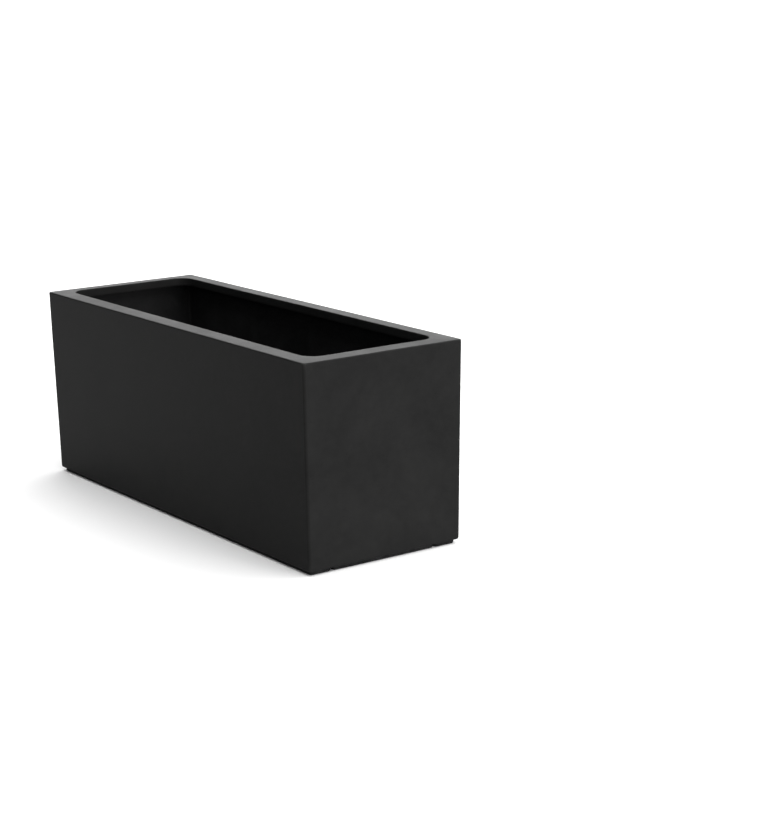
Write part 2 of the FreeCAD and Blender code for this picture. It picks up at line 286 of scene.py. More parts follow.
mottle, inside, outside = new_group("mottle", {"Scale": 12.0, "Detail Scale": 90.0}, ["Mask"])
place = mottle.nodes.new("ShaderNodeTexCoord")
wide = add(mottle, "ShaderNodeTexNoise", detail=5.0, roughness=0.6, distortion=0.4)
close = add(mottle, "ShaderNodeTexNoise", detail=4.0, roughness=0.65)
wire(
    mottle,
    (place.outputs["Object"], wide.inputs["Vector"]),
    (place.outputs["Object"], close.inputs["Vector"]),
    (inside.outputs["Scale"], wide.inputs["Scale"]),
    (inside.outputs["Detail Scale"], close.inputs["Scale"]),
)
both = math_node(mottle, "MULTIPLY_ADD", wide.outputs[0], WIDE_SHARE)
wire(mottle, (math_node(mottle, "MULTIPLY", close.outputs[0], CLOSE_SHARE), both.node.inputs[2]))
wire(mottle, (remap(mottle, both, low=0.3, high=0.7), outside.inputs["Mask"]))

# %% Grain group, with pinholes that the finish paints darker as shade
PIT_DEPTH = 0.8

grain, inside, outside = new_group("grain", {"Scale": 900.0, "Pit Scale": 220.0}, ["Height", "Pits"])
place = grain.nodes.new("ShaderNodeTexCoord")
sand = add(grain, "ShaderNodeTexNoise", detail=3.0, roughness=0.7)
pits = add(grain, "ShaderNodeTexVoronoi", feature="F1", randomness=1.0)
wire(
    grain,
    (place.outputs["Object"], sand.inputs["Vector"]),
    (place.outputs["Object"], pits.inputs["Vector"]),
    (inside.outputs["Scale"], sand.inputs["Scale"]),
    (inside.outputs["Pit Scale"], pits.inputs["Scale"]),
)
sparse = add(grain, "ShaderNodeTexNoise", scale=35.0, detail=2.0)
wire(grain, (place.outputs["Object"], sparse.inputs["Vector"]))
hole = remap(grain, pits.outputs["Distance"], low=0.16, high=0.08)
chosen = remap(grain, sparse.outputs[0], low=0.56, high=0.66)
# Where the pits are: a dip in the bump, and painted shade in the finish's colour.
pit_mask = math_node(grain, "MULTIPLY", hole, chosen)
dip = math_node(grain, "MULTIPLY", pit_mask, PIT_DEPTH)
height = math_node(grain, "SUBTRACT", sand.outputs[0], dip)
wire(grain, (height, outside.inputs["Height"]), (pit_mask, outside.inputs["Pits"]))

# %% Edge wear and painted highlight group
rub_and_highlight_sockets = {"Start": 0.52, "Full": 0.57, "Hollow Start": 0.48, "Hollow Full": 0.44, "Scale": 60.0}
edges_rubbed_and_highlit, inside, outside = new_group("edges_rubbed_and_highlit", rub_and_highlight_sockets, ["Mask", "Hollow"])
surface = edges_rubbed_and_highlit.nodes.new("ShaderNodeNewGeometry")
place = edges_rubbed_and_highlit.nodes.new("ShaderNodeTexCoord")
patchy = add(edges_rubbed_and_highlit, "ShaderNodeTexNoise", detail=4.0, roughness=0.6)
stretch = edges_rubbed_and_highlit.nodes.new("ShaderNodeMapRange")
gathered = edges_rubbed_and_highlit.nodes.new("ShaderNodeMapRange")
wire(
    edges_rubbed_and_highlit,
    (surface.outputs["Pointiness"], stretch.inputs[0]),
    (inside.outputs["Start"], stretch.inputs[1]),
    (inside.outputs["Full"], stretch.inputs[2]),
    (surface.outputs["Pointiness"], gathered.inputs[0]),
    (inside.outputs["Hollow Start"], gathered.inputs[1]),
    (inside.outputs["Hollow Full"], gathered.inputs[2]),
    (gathered.outputs[0], outside.inputs["Hollow"]),
    (place.outputs["Object"], patchy.inputs["Vector"]),
    (inside.outputs["Scale"], patchy.inputs["Scale"]),
)
patches = remap(edges_rubbed_and_highlit, patchy.outputs[0], low=0.3, high=0.65)
# Paler edges: rubbed wear, and also a painted highlight along the arrises.
rubbed_and_highlit = math_node(edges_rubbed_and_highlit, "MULTIPLY", stretch.outputs[0], patches)
wire(edges_rubbed_and_highlit, (rubbed_and_highlit, outside.inputs["Mask"]))

# %% Dust and painted sheen group
dust_and_sheen, inside, outside = new_group("dust_and_sheen", {"Amount": 0.5, "Scale": 25.0}, ["Mask"])
surface = dust_and_sheen.nodes.new("ShaderNodeNewGeometry")
place = dust_and_sheen.nodes.new("ShaderNodeTexCoord")
facing = dust_and_sheen.nodes.new("ShaderNodeSeparateXYZ")
dust_and_sheen_noise = add(dust_and_sheen, "ShaderNodeTexNoise", detail=6.0, roughness=0.62)
wire(
    dust_and_sheen,
    (surface.outputs["Normal"], facing.inputs[0]),
    (place.outputs["Object"], dust_and_sheen_noise.inputs["Vector"]),
    (inside.outputs["Scale"], dust_and_sheen_noise.inputs["Scale"]),
)
upward = remap(dust_and_sheen, facing.outputs["Z"], low=0.35, high=0.95)
blotches = remap(dust_and_sheen, dust_and_sheen_noise.outputs[0], low=0.35, high=0.75)
# Dust on upward faces, which also stands in for a painted sheen on them.
lying_dust_and_sheen = math_node(dust_and_sheen, "MULTIPLY", upward, blotches)
wire(dust_and_sheen, (math_node(dust_and_sheen, "MULTIPLY", lying_dust_and_sheen, inside.outputs["Amount"]), outside.inputs["Mask"]))
print("effects:", [group.name for group in bpy.data.node_groups])

# %% [markdown]
# ## Building a finish
# All the finishes follow one recipe: a base colour that drifts between two tones with the mottle,
# pinholes painted darker as painted shade, paler edges for wear and a painted highlight, dusty
# hollows, a little dust on top that also paints a pale sheen, a roughness that follows the same
# masks, and grain as a bump. One function holds that recipe, and each finish passes its own colours
# and strengths.

# %% Finish recipe
DETAIL_RATIO = 8
# How dark pinholes are painted: painted shade in the holes.
PIT_PAINTED_SHADE = 0.4
DUST_ROUGHNESS = 0.25


def use_group(tree, group, **values):
    """Places a group in a material, with its own values."""
    made = tree.nodes.new("ShaderNodeGroup")
    made.node_tree = group
    for key, value in values.items():
        made.inputs[key.replace("_", " ").title()].default_value = value
    return made


def mix_colour(tree, factor, first, second):
    """Blends two colours; each is a tuple or a socket."""
    made = tree.nodes.new("ShaderNodeMix")
    made.data_type = "RGBA"
    tree.links.new(factor, made.inputs[0])
    for slot, colour in ((6, first), (7, second)):
        if isinstance(colour, tuple):
            made.inputs[slot].default_value = (*colour, 1.0)
        else:
            tree.links.new(colour, made.inputs[slot])
    return made.outputs[2]


def new_finish(
    name,
    dark,
    light,
    worn_and_highlight,
    dusty_and_sheen=(0.30, 0.29, 0.27),
    roughness=(0.5, 0.62),
    metallic=0.0,
    specular=0.5,
    mottle_scale=12.0,
    grain_scale=900.0,
    pit_scale=220.0,
    bump=0.0001,
    wear_and_highlight=1.0,
    hollow=0.4,
    dust_and_sheen_amount=0.3,
):
    """A procedural material; returns the material."""
    material = bpy.data.materials.new(name)
    material.use_nodes = True
    tree = material.node_tree
    shader = tree.nodes["Principled BSDF"]
    shader.inputs["Metallic"].default_value = metallic
    shader.inputs["Specular IOR Level"].default_value = specular
    clouds = use_group(tree, mottle, scale=mottle_scale, detail_scale=mottle_scale * DETAIL_RATIO)
    texture = use_group(tree, grain, scale=grain_scale, pit_scale=pit_scale)
    edges = use_group(tree, edges_rubbed_and_highlit)
    settled_dust_and_sheen = use_group(tree, dust_and_sheen, amount=dust_and_sheen_amount)
    colour = mix_colour(tree, clouds.outputs[0], dark, light)
    # Pinholes painted darker: painted shade in the holes, over the bump's dip.
    colour = mix_colour(tree, texture.outputs["Pits"], colour, tuple(c * PIT_PAINTED_SHADE for c in dark))
    # Paler edges: rubbed wear and a painted edge highlight.
    colour = mix_colour(tree, math_node(tree, "MULTIPLY", edges.outputs[0], wear_and_highlight), colour, worn_and_highlight)
    colour = mix_colour(tree, math_node(tree, "MULTIPLY", edges.outputs["Hollow"], hollow), colour, dusty_and_sheen)
    # Dust on faces that point up, which also paints a pale sheen on the rim's top.
    colour = mix_colour(tree, settled_dust_and_sheen.outputs[0], colour, dusty_and_sheen)
    rough = remap(tree, clouds.outputs[0], 0.0, 1.0, *roughness)
    dust_rough = math_node(tree, "MULTIPLY", settled_dust_and_sheen.outputs[0], DUST_ROUGHNESS)
    rough = math_node(tree, "ADD", rough, dust_rough, clamp=True)
    relief = tree.nodes.new("ShaderNodeBump")
    relief.inputs["Strength"].default_value = 1.0
    relief.inputs["Distance"].default_value = bump
    wire(
        tree,
        (colour, shader.inputs["Base Color"]),
        (rough, shader.inputs["Roughness"]),
        (texture.outputs["Height"], relief.inputs["Height"]),
        (relief.outputs[0], shader.inputs["Normal"]),
    )
    return material


# %% [markdown]
# ## The finishes
# Outside, the shell has a charcoal wash rubbed smooth by hand: nearly black, with a low sheen that
# only shows at a glancing angle. Inside, the laminate is left as it came off the roller, so it is
# rougher and blacker. The small hardware is rubber, moulded plastic, brass, and plain steel.

# %% Finishes
charcoal = new_finish(
    "charcoal_wash",
    dark=(0.0108, 0.0108, 0.0109),
    light=(0.0182, 0.0182, 0.0180),
    # The paler edge colour is rubbed wear and a painted highlight on the arrises.
    worn_and_highlight=(0.060, 0.060, 0.060),
    dusty_and_sheen=(0.05, 0.05, 0.049),
    roughness=(0.38, 0.47),
    specular=0.05,
    mottle_scale=9.0,
    grain_scale=700.0,
    pit_scale=260.0,
    bump=0.00006,
    wear_and_highlight=0.85,
    # Dust on top faces, partly a painted sheen on the rim.
    dust_and_sheen_amount=0.25,
)
laminate = new_finish(
    "raw_laminate",
    dark=(0.0065, 0.0066, 0.0069),
    light=(0.0190, 0.0190, 0.0194),
    worn_and_highlight=(0.02, 0.02, 0.02),
    dusty_and_sheen=(0.04, 0.039, 0.037),
    roughness=(0.55, 0.75),
    specular=0.14,
    mottle_scale=22.0,
    grain_scale=260.0,
    pit_scale=120.0,
    bump=0.0004,
    wear_and_highlight=0.4,
    dust_and_sheen_amount=0.3,
)
galvanised = new_finish(
    "galvanised_steel",
    dark=(0.36, 0.37, 0.38),
    light=(0.52, 0.53, 0.54),
    worn_and_highlight=(0.62, 0.62, 0.62),
    roughness=(0.38, 0.6),
    metallic=1.0,
    mottle_scale=70.0,
    grain_scale=500.0,
    bump=0.00004,
)
moulded_plastic = new_finish(
    "moulded_plastic",
    dark=(0.016, 0.016, 0.017),
    light=(0.024, 0.024, 0.025),
    worn_and_highlight=(0.07, 0.07, 0.07),
    roughness=(0.42, 0.55),
    mottle_scale=60.0,
    grain_scale=1600.0,
    bump=0.00003,
)
plug_rubber = new_finish(
    "plug_rubber",
    dark=(0.011, 0.011, 0.011),
    light=(0.02, 0.02, 0.02),
    worn_and_highlight=(0.06, 0.06, 0.058),
    roughness=(0.6, 0.78),
    mottle_scale=80.0,
    grain_scale=1400.0,
    bump=0.00004,
    dust_and_sheen_amount=0.45,
)
rail_rubber = new_finish(
    "rail_rubber",
    dark=(0.004, 0.004, 0.004),
    light=(0.008, 0.008, 0.008),
    worn_and_highlight=(0.02, 0.02, 0.02),
    dusty_and_sheen=(0.03, 0.03, 0.029),
    roughness=(0.7, 0.88),
    specular=0.15,
    mottle_scale=50.0,
    grain_scale=1100.0,
    bump=0.00006,
)
brass = new_finish(
    "turned_brass",
    dark=(0.55, 0.38, 0.13),
    light=(0.72, 0.52, 0.22),
    worn_and_highlight=(0.85, 0.68, 0.36),
    roughness=(0.25, 0.42),
    metallic=1.0,
    mottle_scale=200.0,
    grain_scale=2500.0,
    bump=0.00001,
)
stainless = new_finish(
    "stainless_steel",
    dark=(0.44, 0.44, 0.43),
    light=(0.58, 0.58, 0.57),
    worn_and_highlight=(0.7, 0.7, 0.7),
    roughness=(0.22, 0.36),
    metallic=1.0,
    mottle_scale=160.0,
    grain_scale=2200.0,
    bump=0.00001,
)
print("finishes:", len(bpy.data.materials))

# %% [markdown]
# ## The shell's section
# The moulding has the same section all round: up the drafted wall, over the rim, which falls a little
# outwards, down the lip, back under the rim and down the inside. It could be modelled by hand with
# bevels, but a list of stations along that section is shorter and exact. Each station says how far in
# from the rim's outer edge it lies, at what height, and how round the corners are there.

# %% Shell section
WALL_ROWS = 30
RIM_ROWS = 6
LIP_ROWS = 3
INNER_ROWS = 26
LIP_ROUND = 1.2 * MM
CORNER_SHRINK = 0.9  # under 1, so that a corner's radius never closes to a point on a bevel


def lean(z):
    """How far the outer wall has moved in at a height, from the draft."""
    rim_edge = RIM_TOP - RIM_FALL
    return DRAFT * (rim_edge - z) / (rim_edge - UNDERSIDE)


def rim_height(inset):
    """The rim's top falls a little from the mouth to the outer edge."""
    return RIM_TOP - RIM_FALL * (1 - inset / RIM_WIDTH)


def outside_stations():
    """(inset, z, corner radius) from the underside up and over to the bottom of the lip."""
    base_in = DRAFT + BASE_ROUND
    stations = []
    for inset, z in arc((base_in, UNDERSIDE), (DRAFT, UNDERSIDE + BASE_ROUND), False):
        stations.append((inset, z, EDGE_ROUND - (inset - DRAFT)))
    start, end = UNDERSIDE + BASE_ROUND, rim_height(ARRIS_ROUND) - ARRIS_ROUND
    for row in range(1, WALL_ROWS):
        z = start + (end - start) * row / WALL_ROWS
        stations.append((lean(z), z, EDGE_ROUND))
    for inset, z in arc((lean(end), end), (ARRIS_ROUND, rim_height(ARRIS_ROUND)), True):
        stations.append((inset, z, EDGE_ROUND - inset * CORNER_SHRINK))
    flat_start, flat_end = ARRIS_ROUND, RIM_WIDTH - MOUTH_EDGE
    for row in range(1, RIM_ROWS):
        share = row / RIM_ROWS
        inset = flat_start + (flat_end - flat_start) * share
        radius = EDGE_ROUND - ARRIS_ROUND + (MOUTH_ROUND + MOUTH_EDGE - EDGE_ROUND + ARRIS_ROUND) * share
        stations.append((inset, rim_height(inset), radius))
    for inset, z in arc((flat_end, rim_height(flat_end)), (RIM_WIDTH, RIM_TOP - MOUTH_EDGE), False):
        stations.append((inset, z, MOUTH_ROUND + RIM_WIDTH - inset))
    lip_low = RIM_TOP - LIP_DEPTH
    for row in range(1, LIP_ROWS + 1):
        z = RIM_TOP - MOUTH_EDGE + (lip_low + LIP_ROUND - RIM_TOP + MOUTH_EDGE) * row / LIP_ROWS
        stations.append((RIM_WIDTH, z, MOUTH_ROUND))
    for inset, z in arc((RIM_WIDTH, lip_low + LIP_ROUND), (RIM_WIDTH - LIP_ROUND, lip_low), True, 3)[1:]:
        stations.append((inset, z, MOUTH_ROUND + RIM_WIDTH - inset))
    return stations


def inside_stations():
    """From the outer face of the lip, back under the rim and down the inner wall to the floor."""
    under = RIM_TOP - RIM_THICK
    lip_back = RIM_WIDTH - LIP_THICK
    stations = [
        (lip_back, RIM_TOP - LIP_DEPTH, MOUTH_ROUND + LIP_THICK),
        (lip_back, under, MOUTH_ROUND + LIP_THICK),
        ((lip_back + WALL) / 2, under, (MOUTH_ROUND + LIP_THICK + INSIDE_ROUND) / 2),
        (WALL + lean(under), under, INSIDE_ROUND),
    ]
    cove_high = FLOOR_TOP + COVE_ROUND
    for row in range(1, INNER_ROWS + 1):
        z = under + (cove_high - under) * row / INNER_ROWS
        stations.append((WALL + lean(z), z, INSIDE_ROUND))
    wall_foot = WALL + lean(cove_high)
    for inset, z in arc((wall_foot, cove_high), (wall_foot + COVE_ROUND, FLOOR_TOP), True, 4)[1:]:
        stations.append((inset, z, INSIDE_ROUND - (inset - wall_foot) * CORNER_SHRINK))
    return stations


def station_rings(stations):
    """The ring that each station gives."""
    rings = []
    for inset, z, radius in stations:
        rings.append(rectangle_ring(HALF_LENGTH - inset, HALF_WIDTH - inset, radius, z))
    return rings


# %% [markdown]
# ## Floor, bosses and holes
# The floor isn't a plain sheet. Three drain holes go through it, and ten bosses stand where the
# screws for the base rails go in. Each hole or boss starts as a circle cut out of the floor, and the
# flat between the circles and the walls is filled with triangles, which is clean because it is flat.

# %% Floor helpers
BOSS_RADIUS = 9 * MM
BOSS_HEIGHT = 5 * MM
BOSS_ROUND = 1.5 * MM
INSERT_RADIUS = 4 * MM
INSERT_LENGTH = 10.5 * MM
SLEEVE_RADIUS = 12 * MM
OUTSIDE_FINISH = 0
INSIDE_FINISH = 1


def loop_edges(mesh, ring):
    """The edges that join a ring of vertices."""
    return [mesh.edges.get((vert, ring[(k + 1) % len(ring)])) for k, vert in enumerate(ring)]


def fill_flat(mesh, loops, material):
    """Fills the flat between an outer loop and the loops inside it."""
    edges = [edge for loop in loops for edge in loop_edges(mesh, loop)]
    made = bmesh.ops.triangle_fill(mesh, use_beauty=True, edges=edges)
    for item in made["geom"]:
        if isinstance(item, bmesh.types.BMFace):
            item.material_index = material


def add_boss(mesh, centre):
    """A boss with a soft foot and edge; returns the circle where it meets the floor."""
    high = FLOOR_TOP + BOSS_HEIGHT
    profile = arc((BOSS_RADIUS + BOSS_ROUND, FLOOR_TOP), (BOSS_RADIUS, FLOOR_TOP + BOSS_ROUND), False, 4)
    profile += arc((BOSS_RADIUS, high - BOSS_ROUND / 2), (BOSS_RADIUS - BOSS_ROUND / 2, high), True, 3)
    foot = new_ring(mesh, circle_ring(centre, *profile[0]))
    top = skin(mesh, [circle_ring(centre, r, z) for r, z in profile[1:]], INSIDE_FINISH, first=foot)
    mesh.faces.new(top).material_index = INSIDE_FINISH
    return foot


def add_blind_hole(mesh, centre):
    """The hole in the underside that holds an insert; returns its mouth."""
    mouth = new_ring(mesh, circle_ring(centre, INSERT_RADIUS, UNDERSIDE))
    deep = [circle_ring(centre, INSERT_RADIUS, UNDERSIDE + INSERT_LENGTH)]
    end = skin(mesh, deep, INSIDE_FINISH, first=mouth)
    mesh.faces.new(end).material_index = INSIDE_FINISH
    return mouth


def add_drain_hole(mesh, centre):
    """A hole through the floor; returns its upper and lower circles."""
    upper = new_ring(mesh, circle_ring(centre, SLEEVE_RADIUS, FLOOR_TOP))
    lower = skin(mesh, [circle_ring(centre, SLEEVE_RADIUS, UNDERSIDE)], INSIDE_FINISH, first=upper)
    return upper, lower


# %% [markdown]
# ## Hand-laid unevenness
# A mould is flat, but a hand-laid laminate still pulls a few tenths of a millimetre out of true, and
# the inside, which no mould touches, is lumpier. Smooth noise moves the points by that much. It is
# too little to see as a shape, and it is meant to break up the sheen along the rim. The noise has no
# fixed seed, so the lumps lie in other places each time the script runs.

# %% Unevenness
OUTER_LUMP = 0.22 * MM
OUTER_SCALE = 11
INNER_LUMP = 0.5 * MM
INNER_SCALE = 30
STILL_FOOT = 10 * MM
FADE_HEIGHT = 20 * MM
WALL_SLACK = 2 * MM


def ripple(mesh):
    """Moves points by smooth noise: less outside, more on the bare inner wall, none on the floor."""
    reach_x, reach_y = (half - WALL - DRAFT + WALL_SLACK for half in (HALF_LENGTH, HALF_WIDTH))
    for vert in mesh.verts:
        x, y, z = vert.co
        within = abs(x) < reach_x and abs(y) < reach_y
        if within and z < RIM_TOP - LIP_DEPTH - MM:
            clear = min(1.0, max(0.0, (z - FLOOR_TOP - STILL_FOOT) / FADE_HEIGHT))
            size, scale = INNER_LUMP * clear, INNER_SCALE
        else:
            size, scale = OUTER_LUMP, OUTER_SCALE
        if z <= FLOOR_TOP + BOSS_HEIGHT and within:
            size = 0
        vert.co += noise.noise_vector(vert.co * scale) * size


# %% [markdown]
# ## Making the shell
# Now the rings are skinned, the floor and the underside are filled, and the whole moulding becomes
# one closed mesh with two finishes: the washed outside, and the raw laminate from the lip inwards.

# %% Shell
bm_shell = bmesh.new()
outer_rings = station_rings(outside_stations())
start_ring = new_ring(bm_shell, outer_rings[0])
lip_end = skin(bm_shell, outer_rings[1:], OUTSIDE_FINISH, first=start_ring)
floor_ring = skin(bm_shell, station_rings(inside_stations()), INSIDE_FINISH, first=lip_end)
floor_loops, under_loops = [floor_ring], [start_ring]
for name in SCREWS:
    spot = centre_of("rail_insert_" + name)
    floor_loops.append(add_boss(bm_shell, spot))
    under_loops.append(add_blind_hole(bm_shell, spot))
for side in SIDES:
    upper_circle, lower_circle = add_drain_hole(bm_shell, centre_of("drain_bush_" + side))
    floor_loops.append(upper_circle)
    under_loops.append(lower_circle)
fill_flat(bm_shell, floor_loops, INSIDE_FINISH)
fill_flat(bm_shell, under_loops, OUTSIDE_FINISH)
ripple(bm_shell)
loose = sum(not edge.is_manifold for edge in bm_shell.edges)
shell = finish_piece(bm_shell, "shell_moulding", "shell", "planter", [charcoal, laminate])
print("shell:", len(shell.data.polygons), "faces,", loose, "open edges")

# %% [markdown]
# ## Turned and moulded hardware
# Bushes, plugs, inserts and screws are all round, so each is a profile spun about its own
# axis. A profile is a list of corners with a small radius at each, because nothing that comes out of
# a mould or off a lathe has a knife edge. Where the real thing isn't quite round, as with a knurl or
# grip flutes, the radius is a function of the angle.

# %% Spun pieces
LARGEST_SHARE = 0.45  # of a side that one corner's rounding may take


def groove(angle, count, depth):
    """How deep a row of grooves round a piece is at an angle."""
    return depth * (0.5 + 0.5 * math.cos(count * angle))


def soften(corners, radius, steps=3):
    """Rounds the inner corners of an open outline of (radius, z) points."""
    points = [Vector(corners[0])]
    for before, here, after in zip(corners, corners[1:], corners[2:]):
        here, before, after = Vector(here), Vector(before), Vector(after)
        back, ahead = before - here, after - here
        reach = min(radius, back.length * LARGEST_SHARE, ahead.length * LARGEST_SHARE)
        first, last = here + back.normalized() * reach, here + ahead.normalized() * reach
        for step in range(steps + 1):
            share = step / steps
            points.append(first.lerp(here, share).lerp(here.lerp(last, share), share))
    points.append(Vector(corners[-1]))
    return points


def spun(name, node, body, material, outline, soft, shape=None, close=False, count=64):
    """Spins an outline about the node's axis; shape(angle, radius, z) bends the radius."""
    centre = centre_of(node)
    mesh = bmesh.new()
    rings = []
    for radius, z in soften(outline, soft):
        bend = (lambda angle, r=radius, z=z: shape(angle, r, z)) if shape else radius
        rings.append(circle_ring(centre, bend, z, count))
    first = new_ring(mesh, rings[0])
    last = skin(mesh, rings[1:], first=first)
    if close:
        for k in range(count):
            n = (k + 1) % count
            mesh.faces.new((last[k], last[n], first[n], first[k]))
    else:
        mesh.faces.new(first)
        mesh.faces.new(last)
    finish_piece(mesh, name, node, body, [material], sharp=50)


# %% [markdown]
# ### Drain bushes
# Each drain hole is lined with a flanged sleeve, so that water can't creep into the laminate. The
# flange has a shallow groove that a bead of sealant sits in.

# %% Drain bushes
def bush_outline(node):
    """A closed outline: bore, sleeve, flange and the sealant groove."""
    low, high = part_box(node)
    bore, flange, thick = 9 * MM, 17 * MM, 2 * MM
    step = high[2] - thick
    seam_low, seam_high = low[2] + 4 * MM, low[2] + 5 * MM
    mouth_outer, mouth_inner = flange - 2 * MM, flange - 3.6 * MM
    floor_outer, floor_inner = flange - 2.4 * MM, flange - 3.2 * MM
    groove_floor = high[2] - 0.4 * MM
    return [
        (bore, seam_low),
        (bore, low[2]),
        (SLEEVE_RADIUS, low[2]),
        (SLEEVE_RADIUS, step),
        (flange, step),
        (flange, high[2]),
        (mouth_outer, high[2]),
        (floor_outer, groove_floor),
        (floor_inner, groove_floor),
        (mouth_inner, high[2]),
        (bore, high[2]),
        (bore, seam_high),
    ]


for side in SIDES:
    node = "drain_bush_" + side
    outline = bush_outline(node)
    spun("sleeve_" + side, node, "planter", moulded_plastic, outline, 0.5 * MM, close=True)

# %% [markdown]
# ### Drain plugs
# A plug is pushed in for winter storage or indoor use and pulled out to drain the box. Its stem has
# sealing ribs, and its knob has flutes so that wet fingers can hold it.

# %% Drain plugs
FLUTES = 12
FLUTE_DEPTH = 0.35 * MM
FLUTED_RADIUS = 5 * MM
FLUTED_HEIGHT = 5.2 * MM
RIBS = 2


def plug_outline(node):
    """From the tip up: chamfer, ribs, flat head, stem and knob."""
    low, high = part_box(node)
    z = low[2]
    pole, chamfer, slope = 0.5 * MM, 1.5 * MM, 2 * MM
    body, rib = 8.3 * MM, 8.9 * MM
    first_rib, rib_pitch = 2.6, 3
    rib_full, rib_fades, rib_tall = 0.5 * MM, 0.9 * MM, 1.4 * MM
    head, stem, knob = 13 * MM, 4 * MM, 8 * MM
    head_low, head_side, head_thick = z + 9 * MM, 1.8 * MM, 3 * MM
    knob_low = high[2] - 5 * MM
    outline = [(pole, z), (body - chamfer, z), (body, z + chamfer)]
    for k in range(RIBS):
        rib_low = z + (first_rib + rib_pitch * k) * MM
        outline += [(body, rib_low), (rib, rib_low + rib_full)]
        outline += [(rib, rib_low + rib_fades), (body, rib_low + rib_tall)]
    outline += [
        (body, head_low),
        (head, head_low),
        (head, head_low + head_side),
        (head - slope, head_low + head_thick),
        (stem, head_low + head_thick),
        (stem, knob_low),
        (knob, knob_low),
        (knob, high[2] - chamfer),
        (knob - slope, high[2]),
        (pole, high[2]),
    ]
    return outline


def fluted(flutes_low):
    """Shallow flutes round the knob only."""

    def shape(angle, radius, z):
        held = z > flutes_low and radius > FLUTED_RADIUS
        return radius - (groove(angle, FLUTES, FLUTE_DEPTH) if held else 0)

    return shape


for side in SIDES:
    node = "drain_plug_" + side
    outline = plug_outline(node)
    flutes = fluted(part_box(node)[1][2] - FLUTED_HEIGHT)
    body = "plug_" + side
    spun("plug_" + side, node, body, plug_rubber, outline, 0.6 * MM, flutes, count=96)

# %% [markdown]
# ### Base rails
# Four rubber rails hold the base a few millimetres off the ground, so that water runs out between
# their ends. They sit just behind the walls' faces and show as a dark line under the box. The sole
# has shallow slots for grip between the screws, and a recess hides each screw's head. The sides are a
# stack of rings again, and the sole is one flat face with every recess and slot left open in it.

# %% Rails
RAIL_ROUND = 4 * MM
RAIL_EDGE = 0.8 * MM
RECESS_RADIUS = 6 * MM
RECESS_DEPTH = 3 * MM
RAIL_BORE = 2.8 * MM
SLOT_DEPTH = 0.9 * MM
SLOT_HALF_WIDTH = 1.2 * MM
SLOT_OFFSET = 10 * MM
SLOT_CLEAR = 9 * MM
SLOT_TAPER = 0.3 * MM
SLOT_ROUND = SLOT_HALF_WIDTH * 0.9
END_CLEAR = 6 * MM
RAIL_STEPS_X = 48
RAIL_STEPS_Y = 24


def ring_at(centre, half_x, half_y, radius, z, steps_x=12, steps_y=12, corner_steps=4):
    """A rectangle ring moved to a centre."""
    ring = rectangle_ring(half_x, half_y, radius, z, steps_x, steps_y, corner_steps)
    return [point + centre for point in ring]


def add_screw_hole(mesh, centre, sole, top):
    """A recess with a bore above it; returns its lower and upper circles."""
    lower = new_ring(mesh, circle_ring(centre, RECESS_RADIUS, sole))
    steps = ((RECESS_RADIUS, sole + RECESS_DEPTH), (RAIL_BORE, sole + RECESS_DEPTH), (RAIL_BORE, top))
    upper = skin(mesh, [circle_ring(centre, radius, z) for radius, z in steps], first=lower)
    return lower, upper


def add_slot(mesh, centre, half_x, half_y, sole):
    """A shallow slot in the sole, a little narrower at its bottom; returns its mouth."""
    mouth = new_ring(mesh, ring_at(centre, half_x, half_y, SLOT_ROUND, sole))
    low_x, low_y, low_round = half_x - SLOT_TAPER, half_y - SLOT_TAPER, SLOT_ROUND - SLOT_TAPER
    deep = ring_at(centre, low_x, low_y, low_round, sole + SLOT_DEPTH)
    mesh.faces.new(skin(mesh, [deep], first=mouth))
    return mouth


def moulded_rail(name, node):
    """A rail with a soft lower edge, a recess and bore at each of its screws, and slots between."""
    low, high = (Vector(corner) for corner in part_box(node))
    along = 0 if high.x - low.x > high.y - low.y else 1
    middle = centre_of(node)
    half = (high - low) / 2
    mesh = bmesh.new()
    profile = [(0, high.z)] + arc((0, low.z + RAIL_EDGE), (RAIL_EDGE, low.z), False)
    rings = []
    for inset, z in profile:
        size = (half.x - inset, half.y - inset, RAIL_ROUND - inset)
        rings.append(ring_at(middle, *size, z, RAIL_STEPS_X, RAIL_STEPS_Y))
    top = new_ring(mesh, rings[0])
    top_loops, sole_loops = [top], [skin(mesh, rings[1:], first=top)]
    spots = []
    for screw in SCREWS:
        spot = centre_of("rail_screw_" + screw)
        if low.x < spot.x < high.x and low.y < spot.y < high.y:
            spots.append(spot)
            lower, upper = add_screw_hole(mesh, spot, low.z, high.z)
            sole_loops.append(lower)
            top_loops.append(upper)
    stops = sorted(spot[along] for spot in spots)
    starts = [low[along] + END_CLEAR - SLOT_CLEAR] + stops
    ends = stops + [high[along] - END_CLEAR + SLOT_CLEAR]
    for start, end in zip(starts, ends):
        reach = (end - start) / 2 - SLOT_CLEAR
        for side in (-1, 0, 1):
            spot = middle.copy()
            spot[along] = (start + end) / 2
            spot[1 - along] += side * SLOT_OFFSET
            sizes = (reach, SLOT_HALF_WIDTH) if along == 0 else (SLOT_HALF_WIDTH, reach)
            sole_loops.append(add_slot(mesh, spot, *sizes, low.z))
    fill_flat(mesh, top_loops, 0)
    fill_flat(mesh, sole_loops, 0)
    open_edges = sum(not edge.is_manifold for edge in mesh.edges)
    print(name, len(mesh.faces), "faces,", open_edges, "open edges")
    finish_piece(mesh, name, node, "planter", [rail_rubber])


for side in EDGES:
    moulded_rail("runner_" + side, "base_rail_" + side)

# %% [markdown]
# ### Inserts and screws
# The brass inserts are moulded into the floor's bosses. Straight knurling keeps them from turning,
# and a screw with a hexagon socket goes up through the rail into each one. The thread is a row of
# rings, not a true helix: at this size no eye can tell, and rings keep the mesh clean.

